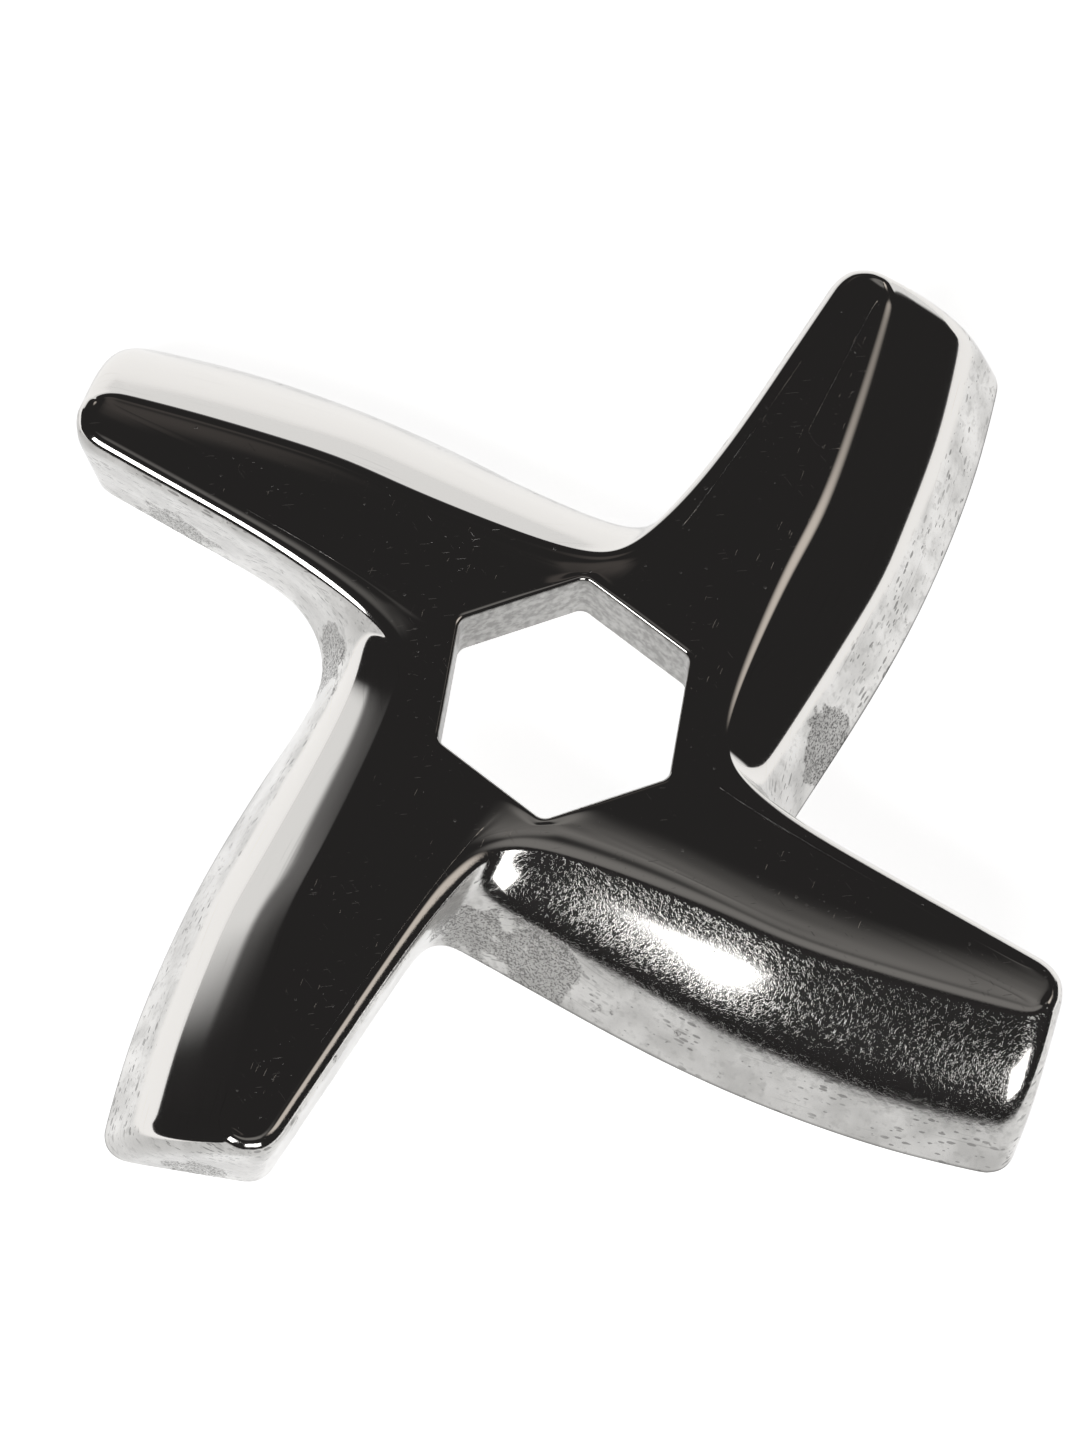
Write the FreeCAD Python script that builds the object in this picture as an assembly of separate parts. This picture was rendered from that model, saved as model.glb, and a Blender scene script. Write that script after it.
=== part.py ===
import FreeCAD, Part
import math
import os

os.makedirs("parts", exist_ok=True)
Vec = FreeCAD.Vector

# Driving dimensions, mm. The cutting face lies on Z = 0 and the drive axis is Z.
# One arm runs out along +X and its scooped side looks towards -Y.
arm_count = 4
height = 5.8

hex_across_flats = 10.0
hex_turn = -8.0
hex_corner_radius = 0.6
hex_rim_radius = 0.18
web_thickness = 3.2
recess_diameter = 15.0

# Foot of the scooped side: distance out from the axis, distance across, and how far
# the flank has opened from its form at the hub (0) to its form on the arm (1).
foot_line = [
    (-6.0, 10.35, -0.1),
    (-4.0, 10.35, -0.1),
    (-2.0, 10.33, -0.1),
    (0.0, 10.3, 0.0),
    (2.0, 10.27, 0.39),
    (4.0, 10.25, 0.61),
    (6.5, 10.24, 0.76),
    (9.5, 10.17, 0.86),
    (13.0, 9.95, 0.87),
    (17.0, 9.42, 0.94),
    (21.0, 8.6, 1.0),
    (25.0, 7.4, 1.0),
    (29.0, 5.95, 1.0),
    (34.0, 4.1, 1.0),
]
# Flank of the scooped side: distance in from the foot, depth below the plateau.
flank_at_hub = [
    (0.0, height),
    (0.38, 3.7),
    (0.75, 1.9),
    (1.15, 1.1),
    (1.8, 0.5),
    (2.6, 0.0),
]
flank_on_arm = [
    (0.0, height),
    (0.72, 4.45),
    (1.3, 3.45),
    (2.3, 2.25),
    (3.7, 1.18),
    (5.6, 0.0),
]
foot_slope = (79.0, 62.0)
crease_slope = (32.0, 31.0)

# Straight side: place of the wall at the top, and how far its foot is set back.
straight_offset = 0.65
straight_setback = 0.9

# Tip wall: its foot at the straight side and at the scooped side, out and across.
tip_inner = (23.9, 0.0)
tip_outer = (26.2, 5.75)
tip_lean = 1.1

# Roundings. The valleys are numbered as the arms, from +X over +Y; two of them are
# cast with a wide foot.
valley_radii_foot = [1.2, 1.2, 4.4, 4.4]
valley_radius_crown = 0.8
rim_radius = 0.7
straight_corner_extra = 0.3
scoop_corner_extra = 0.3

# Room round the part for the shapes that are cut away.
below = 1.0
beyond = 3.0
outside = 60.0


def outwards(slope, length):
    """Horizontal and vertical part of a length laid along a slope."""
    angle = math.radians(slope)
    return length * math.cos(angle), length * math.sin(angle)


def turned(shape, index):
    copy = shape.copy()
    copy.rotate(Vec(0, 0, 0), Vec(0, 0, 1), 360.0 / arm_count * index)
    return copy


def cut_round(body, tool):
    for index in range(arm_count):
        body = body.cut(turned(tool, index))
    return body


def between(at_hub, on_arm, opening):
    return at_hub + (on_arm - at_hub) * opening


def flank_section(out, across, opening):
    """Outline of the room beside the arm at one distance from the axis."""
    steep = between(foot_slope[0], foot_slope[1], opening)
    gentle = between(crease_slope[0], crease_slope[1], opening)
    drop_in, drop = outwards(steep, below / math.sin(math.radians(steep)))
    run, climb = outwards(gentle, beyond)
    line = [(-drop_in, -drop)]
    for at_hub, on_arm in zip(flank_at_hub, flank_on_arm):
        inward = between(at_hub[0], on_arm[0], opening)
        depth = between(at_hub[1], on_arm[1], opening)
        line.append((inward, height - depth))
    line.append((line[-1][0] + run, line[-1][1] + climb))
    curve = Part.BSplineCurve()
    curve.interpolate([Vec(out, inward - across, up) for inward, up in line])
    back, lift = outwards(90.0 - gentle, outside)
    low = Vec(out, line[0][0] - across, line[0][1])
    high = Vec(out, line[-1][0] - across, line[-1][1])
    high_far = high + Vec(0, -back, lift)
    far_high = Vec(out, -outside, high_far.z)
    far_low = Vec(out, -outside, low.z)
    edges = [curve.toShape()]
    edges.append(Part.makeLine(high, high_far))
    edges.append(Part.makeLine(high_far, far_high))
    edges.append(Part.makeLine(far_high, far_low))
    edges.append(Part.makeLine(far_low, low))
    return Part.Wire(edges)


def next_arm_side():
    """Everything behind the straight wall of the next arm."""
    size = 3 * outside
    block = Part.makeBox(size, size, size, Vec(-size, -size / 2, -size / 2))
    lean = math.degrees(math.atan2(straight_setback, height))
    block.rotate(Vec(0, 0, 0), Vec(0, 1, 0), lean)
    block.translate(Vec(straight_offset - straight_setback, 0, 0))
    return block


def scoop_room(valley_radius_foot):
    """Room between the flank of one arm and the straight wall of the next."""
    sections = [flank_section(*station) for station in foot_line]
    room = Part.makeLoft(sections, True, False).cut(next_arm_side())
    valley = []
    for edge in room.Edges:
        near_axis = max(v.X for v in edge.Vertexes) < 5.0
        near_flank = min(v.Y for v in edge.Vertexes) > -20.0
        if near_axis and near_flank:
            valley.append(edge)
    return room.makeFillet(valley_radius_crown, valley_radius_foot, valley)


def tip_room():
    """Room beyond the tip wall of an arm."""
    inner = Vec(tip_inner[0], -tip_inner[1], 0)
    outer = Vec(tip_outer[0], -tip_outer[1], 0)
    normal = Vec(tip_lean, 0, height).cross(outer - inner)
    if normal.x < 0:
        normal = normal * -1
    size = 3 * outside
    block = Part.makeBox(size, size, size, Vec(0, -size / 2, -size / 2))
    turn = FreeCAD.Rotation(Vec(1, 0, 0), normal)
    block.Placement = FreeCAD.Placement(inner, turn)
    arm_only = Part.makeBox(outside, outside, outside, Vec(recess_diameter, -outside / 2, -outside / 2))
    return block.common(arm_only)


def rising_edges(body, kind, from_axis):
    found = []
    for edge in body.Edges:
        heights = [v.Z for v in edge.Vertexes]
        far = min(math.hypot(v.X, v.Y) for v in edge.Vertexes) > from_axis
        tall = max(heights) - min(heights) > height / 2
        if tall and far and isinstance(edge.Curve, kind):
            found.append(edge)
    return found


def edges_at(body, level, within):
    found = []
    for edge in body.Edges:
        flat = all(abs(v.Z - level) < 0.001 for v in edge.Vertexes)
        near = all(math.hypot(v.X, v.Y) < within for v in edge.Vertexes)
        if flat and near:
            found.append(edge)
    return found


def drive_hole():
    corner = hex_across_flats / 2 / math.cos(math.radians(30.0))
    points = []
    for index in range(7):
        angle = math.radians(hex_turn + 60.0 * index)
        points.append(Vec(corner * math.cos(angle), corner * math.sin(angle), -below))
    hexagon = Part.Face(Part.makePolygon(points))
    hole = hexagon.extrude(Vec(0, 0, height + 2 * below))
    upright = [e for e in hole.Edges if abs(e.Vertexes[0].Z - e.Vertexes[-1].Z) > height]
    return hole.makeFillet(hex_corner_radius, upright)


knife = Part.makeCylinder(outside / 2, height)
for index in range(arm_count):
    knife = knife.cut(turned(scoop_room(valley_radii_foot[index]), index))
knife = cut_round(knife, tip_room())
arm_reach = tip_inner[0] - 2.0
knife = knife.makeFillet(rim_radius + scoop_corner_extra, rising_edges(knife, Part.BSplineCurve, arm_reach))
knife = knife.makeFillet(rim_radius + straight_corner_extra, rising_edges(knife, Part.Line, arm_reach))
knife = knife.makeFillet(rim_radius, edges_at(knife, height, outside))

recess_depth = height - web_thickness
recess = Part.makeCylinder(recess_diameter / 2, recess_depth + below, Vec(0, 0, -below))
knife = knife.cut(recess)
knife = knife.cut(drive_hole())
knife = knife.makeFillet(hex_rim_radius, edges_at(knife, height, recess_diameter / 2))

knife.exportStep("parts/knife.step")
print("knife", knife.isValid(), len(knife.Solids), round(knife.Volume, 1))
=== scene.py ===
import math

import bmesh
import bpy
import numpy as np
from mathutils import Matrix, Vector


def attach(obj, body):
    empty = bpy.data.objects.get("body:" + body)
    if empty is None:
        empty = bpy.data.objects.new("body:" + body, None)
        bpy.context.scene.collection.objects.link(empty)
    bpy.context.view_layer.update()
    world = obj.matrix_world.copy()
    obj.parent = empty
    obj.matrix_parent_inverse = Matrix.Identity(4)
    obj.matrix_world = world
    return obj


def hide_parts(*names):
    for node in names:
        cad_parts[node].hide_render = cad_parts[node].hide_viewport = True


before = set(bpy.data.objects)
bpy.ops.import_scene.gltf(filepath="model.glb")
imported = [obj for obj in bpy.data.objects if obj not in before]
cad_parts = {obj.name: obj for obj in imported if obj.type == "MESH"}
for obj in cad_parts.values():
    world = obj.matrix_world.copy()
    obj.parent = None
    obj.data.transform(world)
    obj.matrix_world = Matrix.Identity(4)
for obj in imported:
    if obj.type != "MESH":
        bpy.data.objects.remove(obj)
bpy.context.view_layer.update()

MM = 0.001
TOP = 5.8            # height of the plateau over the cutting face
RIM = 0.7            # rounding between the plateau and the sides
WEB = 3.2            # thickness of the hub round the drive hole
HEX_SIDE = 5.0       # half the width across flats of the drive hole
HEX_TURN = -8.0
HEX_CORNER = 0.6
HEX_RIM = 0.18
RECESS = 7.5         # radius of the recess under the hub
CREST = 0.7          # extra rounding where the plateau turns into the scooped flank
ROLL = 0.14          # how far polishing has rolled the plateau down at its scooped edge
ROLL_REACH = 2.4     # and how far in from that edge the roll begins
STEP = 0.1           # spacing of the points that an outline is smoothed on
COLUMNS = 144        # columns of the control cage: 36 to an arm, 24 to a side of the hexagon


# Camera: the photograph's viewing angle, worked out from the outline of the cutting face.
# Angles are in radians; distance and the axis of the drive hole are in pixels of the photograph.
TILT, SWING, BASE_TURN = 0.43887, 0.08019, 0.55328
PIXELS_PER_MM = 23.056
CAMERA_DISTANCE = 10000.0
PHOTO_SIZE = (1086, 1448)
AXIS_PIXEL = (559.449, 754.292)
SENSOR = 36.0


def set_camera():
    width, height = PHOTO_SIZE
    offset = Vector((AXIS_PIXEL[0] - width / 2, AXIS_PIXEL[1] - height / 2, 0.0))
    axis = Vector((math.cos(SWING), math.sin(SWING), 0.0))
    lean = Matrix.Rotation(TILT, 3, axis)
    turn = Matrix.Rotation(-BASE_TURN, 3, "Z")
    flip = Matrix.Diagonal((1.0, -1.0, 1.0))

    def to_part(v):
        return flip @ (turn @ (lean.transposed() @ v))

    place = to_part(Vector((0.0, 0.0, CAMERA_DISTANCE)) - offset) / PIXELS_PER_MM * MM
    right = to_part(Vector((1.0, 0.0, 0.0)))
    up = to_part(Vector((0.0, -1.0, 0.0)))
    back = to_part(Vector((0.0, 0.0, 1.0)))
    data = bpy.data.cameras.new("camera")
    data.sensor_fit = "VERTICAL"
    data.sensor_height = SENSOR
    data.lens = CAMERA_DISTANCE / height * SENSOR
    data.clip_start = 0.01
    data.clip_end = 10.0
    camera = bpy.data.objects.new("camera", data)
    bpy.context.scene.collection.objects.link(camera)
    matrix = Matrix((right, up, back)).transposed().to_4x4()
    matrix.translation = place
    camera.matrix_world = matrix
    bpy.context.scene.camera = camera


# Outlines of the part, cut from the CAD solid.
def merged_solid():
    solid = bmesh.new()
    solid.from_mesh(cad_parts["knife"].data)
    bmesh.ops.remove_doubles(solid, verts=solid.verts[:], dist=1e-7)
    return solid


def outline_at(solid, height):
    """Outer outline of the solid at one height, as one closed row of points in mm."""
    cut = solid.copy()
    geom = cut.verts[:] + cut.edges[:] + cut.faces[:]
    level = (0, 0, height * MM)
    got = bmesh.ops.bisect_plane(cut, geom=geom, dist=1e-8, plane_co=level, plane_no=(0, 0, 1))
    edges = [e for e in got["geom_cut"] if isinstance(e, bmesh.types.BMEdge)]
    beside = {}
    for edge in edges:
        a, b = edge.verts
        beside.setdefault(a, []).append(b)
        beside.setdefault(b, []).append(a)
    points = walk(beside)
    cut.free()
    return points


def support(points, direction, mask):
    """Index of the point that lies furthest in a direction."""
    reach = points @ np.array(direction)
    reach[~mask] = -1e9
    return int(np.argmax(reach))


def spread(length, start, middle, end):
    """Distances along a run: set steps near its two ends, drawn in where it is short,
    and even ones between."""
    ease = min(1.0, 0.4 * length / max(start[-1], end[-1]))
    start, end = [d * ease for d in start], [d * ease for d in end]
    first, last = start[-1], length - end[-1]
    even = [first + (last - first) * k / middle for k in range(1, middle)]
    return [0.0] + start + even + [length - d for d in reversed(end)]


def along(points, distances):
    """Points, and whatever else is given for them, at distances along an open row."""
    steps = np.hypot(*np.diff(points[:, :2], axis=0).T)
    reach = np.concatenate([[0.0], np.cumsum(steps)])
    columns = [np.interp(distances, reach, values) for values in points.T]
    return np.column_stack(columns)


def softened(points, radius):
    """A closed outline on even points, with the facets of the CAD mesh smoothed out over a
    radius in mm."""
    closed = np.vstack([points, points[:1]])
    length = float(np.sum(np.hypot(*np.diff(closed, axis=0).T)))
    count = int(length / STEP)
    even = along(closed, np.arange(count) * length / count)
    return smooth_round(even, int(2 * (radius / STEP) ** 2))


def with_directions(points):
    """Adds to each point of a closed outline its unit direction away from the material."""
    return np.column_stack([points, outward(points)])


def run_length(points):
    return float(np.sum(np.hypot(*np.diff(points[:, :2], axis=0).T)))


# Steps of the columns near the corners and valleys, and the ways in which these lie on the arm
# along +X.
NEAR_CORNER = [0.3, 0.7, 1.4]
NEAR_VALLEY = [0.4, 0.9, 1.5, 2.2, 3.0]
VALLEY_WAY = (-1.0, 1.0)
SCOOP_CORNER_WAY = (0.909, -0.417)
STRAIGHT_CORNER_WAY = (0.56, 0.83)
NEXT_VALLEY_WAY = (-1.0, -1.0)
TIP_FROM, HUB_TO = 18, 16        # distances from the axis, in mm


def quarter_ring(points):
    """One arm's share of an outline, from one valley round the tip to the next."""
    angle = np.degrees(np.arctan2(points[:, 1], points[:, 0]))
    valley = support(points[:, :2], VALLEY_WAY, (angle > -92) & (angle < -45))
    points = np.roll(points, -valley, axis=0)
    angle = np.degrees(np.arctan2(points[:, 1], points[:, 0]))
    far_out = np.hypot(points[:, 0], points[:, 1])
    arm = (angle > -80) & (angle < 20)
    scoop = support(points[:, :2], SCOOP_CORNER_WAY, arm)
    straight = support(points[:, :2], STRAIGHT_CORNER_WAY, arm & (far_out > TIP_FROM))
    past_tip = np.arange(len(points)) > straight
    back = (angle > -10) & (angle < 45) & past_tip & (far_out < HUB_TO)
    last = support(points[:, :2], NEXT_VALLEY_WAY, back)
    runs = (
        (points[: scoop + 1], NEAR_VALLEY, 8, NEAR_CORNER),
        (points[scoop : straight + 1], NEAR_CORNER, 2, NEAR_CORNER),
        (points[straight : last + 1], NEAR_CORNER, 4, NEAR_VALLEY),
    )
    ring = []
    for run, start, middle, end in runs:
        ring.append(along(run, spread(run_length(run), start, middle, end)))
    return np.concatenate(ring)


def full_ring(points):
    """The outline and its directions at every column, one arm after the other."""
    points = with_directions(points)
    rows = []
    for index in range(4):
        c, s = round(math.cos(math.pi / 2 * index)), round(math.sin(math.pi / 2 * index))
        turn = np.array([[c, s], [-s, c]])
        arm = quarter_ring(np.column_stack([points[:, :2] @ turn.T, points[:, 2:] @ turn.T]))
        rows.append(np.column_stack([arm[:, :2] @ turn, arm[:, 2:] @ turn]))
    return np.concatenate(rows)


HEX_STEPS = [0.0, 0.2, 0.5]      # near a corner of the hexagon
HEX_EVEN = 16                    # even steps between
HALF_CORNER = 15.0               # degrees turned at each side of a rounded corner


def hex_ring(grow):
    """The drive hole's outline, moved out from the hole by a distance, 24 points to a side."""
    side = HEX_SIDE + grow
    corner = side / math.cos(math.radians(30.0))
    trim = HEX_CORNER * math.tan(math.radians(30.0))
    row = []
    for index in range(6):
        angle = math.radians(HEX_TURN - 60.0 + 60.0 * index)
        tip = np.array([math.cos(angle), math.sin(angle)]) * corner
        after = np.array([math.cos(angle + math.pi / 3), math.sin(angle + math.pi / 3)]) * corner
        ahead = (after - tip) / corner
        length = corner - 2 * trim
        inset = 1.0 - HEX_CORNER / math.cos(math.radians(30.0)) / corner
        c, s = math.cos(math.radians(HALF_CORNER)), math.sin(math.radians(HALF_CORNER))
        out = tip / corner * HEX_CORNER
        row.append(tip * inset + out)
        row.append(tip * inset + np.array([c * out[0] - s * out[1], s * out[0] + c * out[1]]))
        near = HEX_STEPS[-1]
        even = [near + (length - 2 * near) * k / HEX_EVEN for k in range(1, HEX_EVEN)]
        for distance in HEX_STEPS + even + [length - d for d in reversed(HEX_STEPS)]:
            row.append(tip + ahead * (trim + distance))
        out = after / corner * HEX_CORNER
        row.append(after * inset + np.array([c * out[0] + s * out[1], -s * out[0] + c * out[1]]))
    return np.roll(np.array(row), 2, axis=0)


ROUND_START = -86.4              # angle of the first column on the recess


def round_ring(radius):
    angle = np.radians(ROUND_START + 360.0 / COLUMNS * np.arange(COLUMNS))
    return np.column_stack([np.cos(angle), np.sin(angle)]) * radius


def outward(ring):
    """Unit directions in plan, square to a ring and away from the material."""
    ahead = np.roll(ring, -1, axis=0) - np.roll(ring, 1, axis=0)
    ahead /= np.hypot(*ahead.T)[:, None]
    return np.column_stack([ahead[:, 1], -ahead[:, 0]])


def plateau_outline(solid):
    """Edge of the flat top, as one closed row of points in mm."""
    flat = [f for f in solid.faces if all(abs(v.co.z - TOP * MM) < 1e-7 for v in f.verts)]
    inside = set(flat)
    beside = {}
    for face in flat:
        for edge in face.edges:
            if sum(f in inside for f in edge.link_faces) == 1:
                a, b = edge.verts
                beside.setdefault(a, []).append(b)
                beside.setdefault(b, []).append(a)
    return walk(beside)


def walk(beside):
    """The row of points that runs through the farthest one, turning anticlockwise."""
    start = max(beside, key=lambda v: v.co.xy.length)
    row, last, here = [start], None, start
    while True:
        onward = [v for v in beside[here] if v is not last]
        last, here = here, onward[0]
        if here is start:
            break
        row.append(here)
    points = np.array([v.co.xy for v in row], float) / MM
    x, y = points.T
    area = np.sum(x * np.roll(y, -1) - y * np.roll(x, -1))
    return points if area > 0 else points[::-1]


def smooth_round(values, times):
    for _ in range(times):
        values = (np.roll(values, 1, axis=0) + 2 * values + np.roll(values, -1, axis=0)) / 4
    return values


# Heights at which the solid is sliced.
LEVELS = [0.02, 0.3, 0.8, 1.4, 2.0, 2.6, 3.2, 3.8, 4.3, 4.7, 5.0, 5.3, 5.6]


def side_at(rings, heights):
    """The side of the part at its own height in each column."""
    place = np.empty((COLUMNS, 2))
    for column in range(COLUMNS):
        for k in (0, 1):
            place[column, k] = np.interp(heights[column], LEVELS, rings[:, column, k])
    return place


# Share of each of an arm's 36 columns, which run from a valley along the scoop, round the tip and
# back along the straight side: in the softening and easing of the valleys, in the rounding of the
# crest, and in the roll of the plateau.
SOFT_SHARE = np.tile(np.r_[np.ones(4), 0.7, 0.35, np.zeros(25), 0.35, 0.7, np.ones(3)], 4)
EASED_SHARE = np.tile(np.r_[np.ones(7), 0.6, 0.3, np.zeros(21), 0.3, 0.6, np.ones(4)], 4)
CREST_SHARE = np.tile(np.r_[0.0, 0.0, 0.15, 0.4, 0.7, np.ones(8), 0.8, 0.4, 0.1, np.zeros(20)], 4)
ROLL_SHARE = np.tile(
    np.r_[np.ones(16), 0.7, 0.3, np.zeros(11), 0.1, 0.25, 0.4, 0.55, 0.7, 0.85, 0.95], 4
)
# The arm along +Y is rounded more towards its tip.
CREST_SHARE[43:52] = [1.2, 1.5, 1.8, 2.1, 2.2, 2.2, 1.7, 0.9, 0.3]
EASE_TIMES = 10


def blended(first, second, share):
    return first + (second - first) * share[:, None]


def denser(points, steps):
    """A closed row with more points between its own."""
    parts = [points + (np.roll(points, -1, axis=0) - points) * k / steps for k in range(steps)]
    return np.concatenate(parts)


CROWN_ROW = 10       # row of the cage at the edge of the plateau
FOOT_ROW = 25        # row just over the cutting face
LOWER = 0.999        # keeps the smoothed plateau from rising over the real one
SLOPE_FROM, SLOPE_TO = 4.85, 5.5         # heights between which the slope of the side is taken
WALL_SLOPE = 97.0    # turn from the plateau into a leaning wall, in degrees
SOFT_FROM = 3.0      # height over which the valleys are softened
EDGE = 0.04          # half width of the sharp edges under the part
HOLD = 0.25          # distance of the rows that hold an edge


def cage_rows(solid):
    """Rows of the control cage, each with one point in mm for every column."""
    rings = []
    for level in LEVELS:
        outline = outline_at(solid, level)
        share = SOFT_SHARE * np.clip((level - SOFT_FROM) / 1.2, 0, 1)
        fine, soft = full_ring(softened(outline, 0.3)), full_ring(softened(outline, 1.1))
        rings.append(blended(fine, soft, share))
    rings = np.array(rings)
    outline = plateau_outline(solid)
    fine, soft = full_ring(softened(outline, 0.45)), full_ring(softened(outline, 1.1))
    crown = blended(fine, soft, SOFT_SHARE)
    crown, square = crown[:, :2], crown[:, 2:]
    square /= np.hypot(*square.T)[:, None]
    low = side_at(rings, np.full(COLUMNS, SLOPE_FROM))
    high = side_at(rings, np.full(COLUMNS, SLOPE_TO))
    depth = np.einsum("ij,ij->i", low - crown, square)
    run = np.einsum("ij,ij->i", low - high, square)
    slope = np.arctan2(SLOPE_TO - SLOPE_FROM, smooth_round(run, 1))
    slope = np.where(depth < RIM * 1.05, np.radians(WALL_SLOPE), slope)
    slope = smooth_round(slope, 2)
    extra = CREST * CREST_SHARE
    round_off = RIM + extra
    crown = crown - square * (extra * np.tan(slope / 2))[:, None]
    rows = []
    edge = denser(np.column_stack([crown, ROLL_SHARE]), 8)

    def add(plan, height, roll=None):
        """Adds a row. Unless the roll is given, it grows with nearness to the scooped edge."""
        if roll is None:
            apart = np.hypot(*(plan[:, None] - edge[None, :, :2]).transpose(2, 0, 1))
            roll = np.max(edge[:, 2] * np.clip(1 - apart / ROLL_REACH, 0, 1) ** 2, axis=1)
        rows.append(np.column_stack([plan, height - ROLL * roll * np.ones(COLUMNS)]))

    # Rim of the drive hole, then the plateau out to its edge.
    add(hex_ring(0.0), TOP - HEX_RIM, 0.0)
    add(hex_ring(HEX_RIM * 0.3), TOP - HEX_RIM * 0.3, 0.0)
    add(hex_ring(HEX_RIM), TOP, 0.0)
    gap = np.hypot(*(crown - hex_ring(HEX_RIM)).T)[:, None]
    near_hole = hex_ring(HEX_RIM) + (crown - hex_ring(HEX_RIM)) / gap * np.minimum(0.3, 0.25 * gap)
    add(near_hole, TOP)
    near_crown = crown - square * np.minimum(0.2, 0.25 * gap)
    for share in (0.9, 0.68, 0.44, 0.24, 0.1):
        add(near_crown + (near_hole - near_crown) * share, TOP)
    add(near_crown, TOP)
    add(crown, TOP)

    # Rounding from the plateau into the flank, the tip and the straight wall.
    for share in (0.17, 0.34, 0.5, 0.67, 0.84, 1.0):
        turn = slope * share
        plan = crown + square * (round_off * np.sin(turn))[:, None]
        add(plan, TOP - round_off * (1 - np.cos(turn)), ROLL_SHARE)
    start = TOP - round_off * (1 - np.cos(slope))

    # Side down to the foot.
    for share in (0.88, 0.75, 0.62, 0.49, 0.36, 0.24, 0.12):
        add(side_at(rings, start * share), start * share, ROLL_SHARE * share ** 2)
    foot, away = rings[0][:, :2], rings[0][:, 2:]
    add(side_at(rings, np.full(COLUMNS, 0.16)), 0.16, 0.0)
    add(foot, EDGE, 0.0)
    add(foot - away * EDGE, 0.0, 0.0)

    # Cutting face, recess and the walls of the drive hole.
    inner = foot - away * HOLD
    add(inner, 0.0, 0.0)
    mouth = round_ring(RECESS + HOLD)
    add(inner + (mouth - inner) * 0.5, 0.0, 0.0)
    add(mouth, 0.0, 0.0)
    add(round_ring(RECESS + EDGE), 0.0, 0.0)
    depth = TOP - WEB
    add(round_ring(RECESS), EDGE, 0.0)
    add(round_ring(RECESS), 0.3, 0.0)
    add(round_ring(RECESS), depth - HOLD, 0.0)
    add(round_ring(RECESS - 0.03), depth - 0.03, 0.0)
    add(round_ring(RECESS - HOLD), depth, 0.0)
    add(hex_ring(0.3), depth, 0.0)
    add(hex_ring(EDGE), depth, 0.0)
    add(hex_ring(0.0), depth + EDGE, 0.0)
    add(hex_ring(0.0), depth + 0.3, 0.0)
    add(hex_ring(0.0), TOP - HEX_RIM - HOLD, 0.0)
    # The side is eased across the columns of the valleys, most of all half way down.
    rows = np.array(rows)
    for row in range(CROWN_ROW + 1, FOOT_ROW):
        share = EASED_SHARE * min(1.0, (row - CROWN_ROW) / 4, (FOOT_ROW - row) / 4)
        for _ in range(EASE_TIMES):
            rows[row] = blended(rows[row], smooth_round(rows[row], 1), share)
    rows[:, :, 2] *= LOWER
    return rows


def meet_outline(cage):
    """Moves the cage out a little, so that the smoothed surface meets the real outlines."""
    target = cage.copy()
    for _ in range(2):
        smoothed = (np.roll(cage, 1, axis=1) + 4 * cage + np.roll(cage, -1, axis=1)) / 6
        cage = cage + target - smoothed
    return cage


def build_knife():
    solid = merged_solid()
    cage = meet_outline(cage_rows(solid))
    solid.free()
    rows = len(cage)
    # Millimetres run round the part and down its side, for marks that follow the arms.
    middle = cage[CROWN_ROW + 11]
    steps = np.linalg.norm(np.roll(middle, -1, axis=0) - middle, axis=1)
    around = np.concatenate([[0.0], np.cumsum(steps)])
    gaps = np.linalg.norm(np.roll(cage, -1, axis=0) - cage, axis=2)
    down = np.vstack([np.zeros(COLUMNS), np.cumsum(gaps, axis=0)])
    down -= down[CROWN_ROW]
    sheet = bmesh.new()
    # A sheet of quads is wrapped round the part: out over the plateau, down the side, back
    # underneath and up the hole.
    bmesh.ops.create_grid(sheet, x_segments=COLUMNS, y_segments=rows, size=1.0)
    sheet.verts.ensure_lookup_table()
    lay = sheet.loops.layers.uv.new("around_and_down")
    for index, vert in enumerate(sheet.verts):
        row, column = divmod(index, COLUMNS + 1)
        vert.co = Vector(cage[row % rows, column % COLUMNS]) * MM
        for loop in vert.link_loops:
            loop[lay].uv = (around[column], down[row, column % COLUMNS])
    bmesh.ops.remove_doubles(sheet, verts=sheet.verts[:], dist=1e-7)
    bmesh.ops.recalc_face_normals(sheet, faces=sheet.faces[:])
    for face in sheet.faces:
        face.smooth = True
    mesh = bpy.data.meshes.new("knife_body")
    sheet.to_mesh(mesh)
    sheet.free()
    knife = bpy.data.objects.new("knife_body", mesh)
    bpy.context.scene.collection.objects.link(knife)
    smoothing = knife.modifiers.new("smoothing", "SUBSURF")
    smoothing.levels = smoothing.render_levels = 2
    return knife


# Materials.
def linear(code):
    """sRGB hex colour as linear RGBA."""
    parts = [int(code[k : k + 2], 16) / 255 for k in (0, 2, 4)]
    return [c / 12.92 if c <= 0.04045 else ((c + 0.055) / 1.055) ** 2.4 for c in parts] + [1.0]


def add_node(tree, kind, settings=None, **links):
    """A node with its settings and with what goes in: sockets, or plain values. i0 is its first
    input, i1 the second, and so on."""
    node = tree.nodes.new("ShaderNode" + kind)
    for key, value in (settings or {}).items():
        if isinstance(key, int) or key in node.inputs:
            node.inputs[key].default_value = value
        else:
            setattr(node, key, value)
    for key, source in links.items():
        name = int(key[1:]) if key[0] == "i" and key[1:].isdigit() else key.replace("_", " ")
        if isinstance(source, bpy.types.NodeSocket):
            tree.links.new(source, node.inputs[name])
        else:
            node.inputs[name].default_value = source
    return node


def new_material(name):
    material = bpy.data.materials.new(name)
    material.use_nodes = True
    material.node_tree.nodes.clear()
    return material, material.node_tree


def eased(tree, value, start, stop):
    """0 at start and 1 at stop, eased between; start may be the larger."""
    settings = {"interpolation_type": "SMOOTHSTEP", "From Min": start, "From Max": stop}
    return add_node(tree, "MapRange", settings, Value=value).outputs[0]


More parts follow.
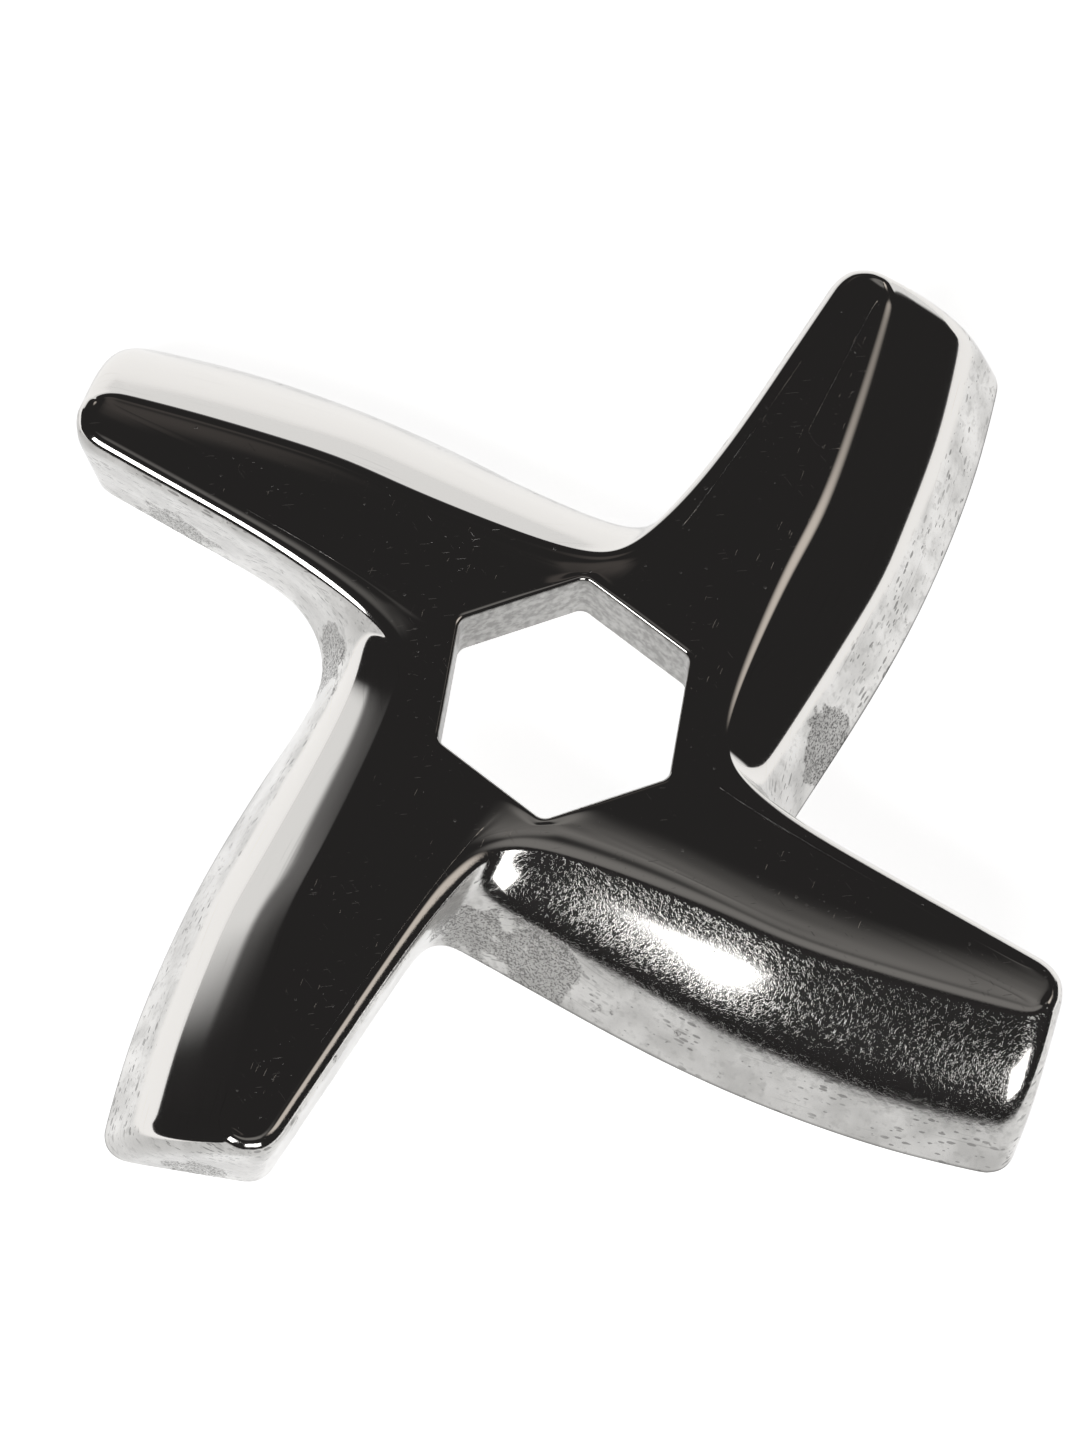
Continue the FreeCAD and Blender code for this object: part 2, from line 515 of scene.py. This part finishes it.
def joined(tree, operation, values):
    """Values, each a socket or a number, put together one after the other."""
    result = values[0]
    for value in values[1:]:
        result = add_node(tree, "Math", {"operation": operation}, i0=result, i1=value).outputs[0]
    return result


def product(tree, *values):
    return joined(tree, "MULTIPLY", values)


def total(tree, *values):
    return joined(tree, "ADD", values)


def highest(tree, *values):
    return joined(tree, "MAXIMUM", values)


def inverse(tree, value):
    return joined(tree, "SUBTRACT", (1.0, value))


def tinted(tree, share, first, second):
    """Colour that goes from the first to the second with share."""
    first, second = [linear(c) if isinstance(c, str) else c for c in (first, second)]
    return add_node(tree, "Mix", {"data_type": "RGBA"}, i0=share, i6=first, i7=second).outputs[2]


def stretched(tree, vector, factors, turn=0.0):
    """Coordinates turned in plan and scaled on each axis."""
    angle = (0.0, 0.0, math.radians(turn))
    turned = add_node(tree, "Mapping", {"Rotation": angle}, Vector=vector).outputs[0]
    sized = add_node(tree, "VectorMath", {"operation": "MULTIPLY", 1: factors}, i0=turned)
    return sized.outputs[0]


def specks_on(tree, vector, scale, size, share):
    """Round specks: size is their reach within a cell, share that of the cells that hold one."""
    cells = add_node(tree, "TexVoronoi", {"Scale": scale}, Vector=vector)
    pick = add_node(tree, "SeparateColor", None, Color=cells.outputs["Color"])
    chosen = eased(tree, pick.outputs[0], 1.0 - share, 1.02 - share)
    reach = product(tree, pick.outputs[1], size)
    near = joined(tree, "LESS_THAN", (cells.outputs["Distance"], reach))
    return product(tree, near, chosen)


def scratches_on(tree, vector, turn, seed, length=1.6, width=0.07, bar=0.7):
    """Fine straight scratches in one direction, about length by width in mm."""
    laid = stretched(tree, vector, (0.5 / length, 0.5 / width, 0.5), turn)
    settings = {"noise_dimensions": "4D", "Scale": 1.0, "Detail": 0.0, "W": seed}
    streaks = add_node(tree, "TexNoise", settings, Vector=laid)
    return eased(tree, streaks.outputs[0], bar, bar + 0.05)


# Rough places left from casting: centre and reach in mm.
CAST_PATCHES = [
    ((1.2, -9.4, 2.0), 2.6),
    ((4.6, -9.6, 1.6), 3.0),
    ((9.6, 6.0, 1.0), 2.6),
    ((-10.2, -2.0, 1.6), 2.4),
    ((-3.1, -24.4, 1.2), 2.2),
    ((-19.4, 1.6, 0.8), 3.4),
]


# Clouds that the finishes are drawn from: cells to a millimetre, detail, distortion and seed.
CLOUDS = {
    "busy_top": (0.22, 2.0, 0.0, 4.0),
    "curls": (4.4, 1.5, 1.6, 5.0),
    "mottling": (0.55, 4.0, 0.0, 7.0),
    "fine_mottling": (3.2, 3.0, 0.0, 8.0),
    "grit": (10.0, 2.0, 0.4, 10.0),
    "torn_edge": (1.1, 4.0, 0.4, 11.0),
    "busy_wall": (0.35, 2.0, 0.0, 12.0),
}


def near_places(tree, vector, places):
    """1 inside any of the places, easing to 0 at their reach."""
    shares = []
    for centre, reach in places:
        node = add_node(tree, "VectorMath", {"operation": "DISTANCE", 1: centre}, i0=vector)
        shares.append(eased(tree, node.outputs["Value"], reach, reach * 0.35))
    return highest(tree, *shares)


# Roughness of the mirror polish, and what each finish and mark adds to it.
POLISH_ROUGHNESS = 0.055
WALL_ADDS, MARK_ADDS, GRAIN_ADDS, SKIN_ADDS = 0.14, 0.14, 0.03, 0.25
FLANK_ADDS, BORE_ADDS, UNDERSIDE_ADDS = 0.01, 0.14, 0.2
# Greatest relief in metres, and the shares of it by which finishes and marks stand out or in.
RELIEF = 0.00003
GRAIN_OUT, WALL_OUT, PITS_OUT, MARKS_OUT = 0.052, 0.6, -1.0, -0.22


def polished_cast_steel():
    """Cast steel: a black-mirror polish on top with specks and hairlines, a curled satin grain on
    the flank of one arm, and light ground walls with pits, where the casting's dark skin is left
    in places."""
    material, tree = new_material("polished_cast_steel")
    coord = add_node(tree, "TexCoord").outputs
    place = stretched(tree, coord["Object"], [1.0 / MM] * 3)
    wrapped = coord["UV"]
    facing = add_node(tree, "NewGeometry").outputs["Normal"]
    normal = add_node(tree, "SeparateXYZ", i0=facing).outputs
    right, back, height = add_node(tree, "SeparateXYZ", i0=place).outputs
    level = stretched(tree, place, (1.0, 1.0, 0.0))
    length = add_node(tree, "VectorMath", {"operation": "LENGTH"}, i0=level)
    from_axis = length.outputs["Value"]
    clouds = {}
    for name, (scale, detail, distortion, seed) in CLOUDS.items():
        settings = {"noise_dimensions": "4D", "Scale": scale, "Detail": detail}
        settings.update({"Distortion": distortion, "W": seed})
        clouds[name] = add_node(tree, "TexNoise", settings, Vector=place).outputs[0]

    steep = eased(tree, normal[2], 0.61, 0.54)
    sloped = product(tree, eased(tree, normal[2], 0.975, 0.92), inverse(tree, steep))
    bore = product(tree, steep, eased(tree, from_axis, 6.6, 6.4))
    below = eased(tree, normal[2], -0.2, -0.6)
    flat_top = eased(tree, normal[2], 0.97, 0.99)

    # Top: tiny specks and hairlines that catch light on the black mirror.
    dots = specks_on(tree, place, 1.5, 0.13, 0.6)
    fine_dots = specks_on(tree, place, 3.6, 0.17, 0.5)
    hairlines = highest(
        tree,
        scratches_on(tree, place, 24.0, 1.0, 0.45, 0.025, 0.775),
        scratches_on(tree, place, -38.0, 2.0, 0.4, 0.025, 0.775),
        scratches_on(tree, place, 81.0, 3.0, 0.45, 0.025, 0.78),
    )
    busy = eased(tree, clouds["busy_top"], 0.38, 0.62)
    fine_marks = product(tree, highest(tree, fine_dots, hairlines), busy)
    marks = product(tree, highest(tree, dots, fine_marks), flat_top)

    # Flank of the arm along +X: satin grain of short curls, which scatters the lamps' glow.
    middle = total(tree, clouds["curls"], -0.5)
    apart = highest(tree, middle, product(tree, middle, -1.0))
    curls = eased(tree, apart, 0.05, 0.0)
    this_arm = product(tree, eased(tree, right, -3.0, 1.0), eased(tree, back, 2.0, -2.0))
    satin = product(tree, sloped, this_arm)
    grain = product(tree, curls, satin)

    # Walls: mottling, pits and dashes drawn out along the arms, and cast skin with its grit.
    drawn = stretched(tree, wrapped, (1.1, 2.4, 1.0))
    small_pits = specks_on(tree, drawn, 2.6, 0.22, 0.35)
    pits = highest(tree, specks_on(tree, drawn, 1.0, 0.2, 0.42), small_pits)
    lines = scratches_on(tree, wrapped, 2.0, 9.0, 2.2, 0.05, 0.7)
    busy_wall = eased(tree, clouds["busy_wall"], 0.4, 0.62)
    dash_cells = stretched(tree, wrapped, (2.2, 6.0, 1.0))
    dashes = product(tree, specks_on(tree, dash_cells, 1.0, 0.56, 0.45), busy_wall)
    torn = product(tree, total(tree, clouds["torn_edge"], -0.5), 2.4)
    skin_place = total(tree, near_places(tree, place, CAST_PATCHES), torn)
    dull = product(tree, steep, eased(tree, skin_place, 0.3, 0.6))
    grit = eased(tree, clouds["grit"], 0.48, 0.62)
    skin = product(tree, dull, grit)

    # Painted shade: the lowest 0.2 mm of the walls is darkened into a dark rim where the part
    # meets the floor.
    foot = product(tree, eased(tree, height, 0.2, 0.06), steep)
    hole = tinted(tree, eased(tree, clouds["fine_mottling"], 0.35, 0.65), "8F8E8C", "B3B2B0")
    # Painted shade: walls that face -Y are greyed, as if the floor in front lit them less.
    front_facing_shade = product(tree, eased(tree, normal[1], -0.3, -0.8), inverse(tree, bore))
    ground = tinted(tree, eased(tree, clouds["mottling"], 0.3, 0.7), "B9B8B6", "DCDBD9")
    for share, amount, tint in (
        (eased(tree, clouds["fine_mottling"], 0.5, 0.7), 0.5, "A5A4A2"),
        (pits, 0.7, "4A4948"),
        (lines, 0.35, "8A8987"),
        (dashes, 0.7, "4E4D4C"),
        (dull, 0.5, "7C7B79"),
        (skin, 0.7, "434241"),
        # painted shade at the foot of the walls
        (foot, 0.8, "3A3A39"),
        (bore, 1.0, hole),
        # painted shade on the walls facing -Y
        (front_facing_shade, 0.4, "8C8B89"),
    ):
        ground = tinted(tree, product(tree, share, amount), ground, tint)
    polished = tinted(tree, product(tree, lines, sloped, 0.2), "DAD8D5", "A9A8A6")
    colour = tinted(tree, steep, polished, ground)
    colour = tinted(tree, product(tree, marks, 0.14), colour, "F4F4F4")
    colour = tinted(tree, below, colour, "B9B8B6")

    rough = total(tree, product(tree, steep, WALL_ADDS), POLISH_ROUGHNESS)
    for share, amount in (
        (marks, MARK_ADDS),
        (satin, GRAIN_ADDS),
        (skin, SKIN_ADDS),
        (sloped, FLANK_ADDS),
        (bore, BORE_ADDS),
        (below, UNDERSIDE_ADDS),
    ):
        rough = total(tree, rough, product(tree, share, amount))

    relief = total(
        tree,
        product(tree, grain, GRAIN_OUT),
        product(tree, highest(tree, pits, skin), steep, PITS_OUT),
        product(tree, clouds["fine_mottling"], steep, WALL_OUT),
        product(tree, marks, MARKS_OUT),
    )
    bump = add_node(tree, "Bump", {"Strength": 0.5, "Distance": RELIEF}, Height=relief)
    steel = add_node(
        tree,
        "BsdfPrincipled",
        {"Metallic": 1.0},
        Base_Color=colour,
        Roughness=rough,
        Normal=bump.outputs[0],
    )
    add_node(tree, "OutputMaterial", Surface=steel.outputs[0])
    return material


FLOOR_GLOW = 0.88


def white_floor():
    """Plain white paper: takes the shadow, and is nearly white to the camera and in the steel."""
    material, tree = new_material("white_floor")
    plain = add_node(tree, "BsdfDiffuse", {"Color": linear("F2F2F2")})
    path = add_node(tree, "LightPath")
    seen = highest(tree, path.outputs["Is Camera Ray"], path.outputs["Is Glossy Ray"])
    strength = product(tree, seen, FLOOR_GLOW)
    glow = add_node(tree, "Emission", {"Color": linear("FFFFFF")}, Strength=strength)
    both = add_node(tree, "AddShader", None, i0=plain.outputs[0], i1=glow.outputs[0])
    add_node(tree, "OutputMaterial", Surface=both.outputs[0])
    return material


def make_floor():
    plane = bmesh.new()
    bmesh.ops.create_grid(plane, x_segments=1, y_segments=1, size=3.0)
    mesh = bpy.data.meshes.new("floor")
    plane.to_mesh(mesh)
    plane.free()
    floor = bpy.data.objects.new("floor", mesh)
    bpy.context.scene.collection.objects.link(floor)
    mesh.materials.append(white_floor())


# Soft lights far off in the dark room: azimuth from +X towards +Y, elevation, full and faded
# reach, colour.
GLOWS = [
    (122.0, 88.0, 3.0, 19.0, "807E7C"),
    (122.0, 50.0, 1.0, 6.5, "4D4947"),
    (41.0, 57.0, 6.0, 17.0, "DDD4CB"),
]
DARK = "2B2A2A"
# The studio's white wall at the left and behind, and the grey band over it: the elevations in
# degrees between which each fades, the way they lie, and the shares between which they end.
WHITE_RISE = (12.5, 15.0)
GREY_RISE = (16.0, 20.0)
WALL_AZIMUTH = 118.0
WALL_ENDS = (0.56, 0.63)


def towards(azimuth, elevation):
    a, e = math.radians(azimuth), math.radians(elevation)
    return Vector((math.cos(a) * math.cos(e), math.sin(a) * math.cos(e), math.sin(e)))


def toward_share(tree, look, azimuth, elevation):
    """How closely a way of looking agrees with an aim: 1 straight at it, 0 square to it."""
    aim = towards(azimuth, elevation)
    node = add_node(tree, "VectorMath", {"operation": "DOT_PRODUCT", 1: aim}, i0=look)
    return node.outputs["Value"]


def dark_room():
    """Dark studio over the white floor, as the polished faces mirror it."""
    world = bpy.data.worlds.new("dark_room")
    world.use_nodes = True
    tree = world.node_tree
    tree.nodes.clear()
    look = add_node(tree, "TexCoord").outputs["Generated"]
    colour = DARK
    for azimuth, elevation, full, faded, code in GLOWS:
        aim = toward_share(tree, look, azimuth, elevation)
        share = eased(tree, aim, math.cos(math.radians(faded)), math.cos(math.radians(full)))
        colour = tinted(tree, share, colour, code)
    rise = add_node(tree, "SeparateXYZ", i0=look).outputs[2]
    there = eased(tree, toward_share(tree, look, WALL_AZIMUTH, 0.0), *WALL_ENDS)
    for band, code in ((GREY_RISE, "6A6969"), (WHITE_RISE, "FAFAFA")):
        low, high = [math.sin(math.radians(d)) for d in band]
        colour = tinted(tree, product(tree, there, eased(tree, rise, high, low)), colour, code)
    glow = add_node(tree, "Background", {"Strength": 1.0}, Color=colour)
    add_node(tree, "OutputWorld", Surface=glow.outputs[0])
    bpy.context.scene.world = world


def soft_lamp(name, azimuth, elevation, distance, size, power):
    """A soft box aimed at the part. Azimuth is turned from +X towards +Y; size is in metres."""
    data = bpy.data.lights.new(name, "AREA")
    data.shape = "RECTANGLE"
    data.size, data.size_y = size
    data.energy = power
    lamp = bpy.data.objects.new(name, data)
    bpy.context.scene.collection.objects.link(lamp)
    place = towards(azimuth, elevation) * distance
    aimed = place.to_track_quat("Z", "Y").to_matrix().to_4x4()
    lamp.matrix_world = Matrix.Translation(place) @ aimed


set_camera()
knife = build_knife()
knife.data.materials.append(polished_cast_steel())
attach(knife, "root")
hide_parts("knife")
make_floor()
dark_room()
soft_lamp("front_left_lamp", -109.0, 36.0, 1.0, (0.44, 0.43), 2.9)
soft_lamp("front_lamp", -52.0, 33.0, 1.0, (0.44, 0.34), 1.7)

scene = bpy.context.scene
scene.view_settings.view_transform = "Standard"
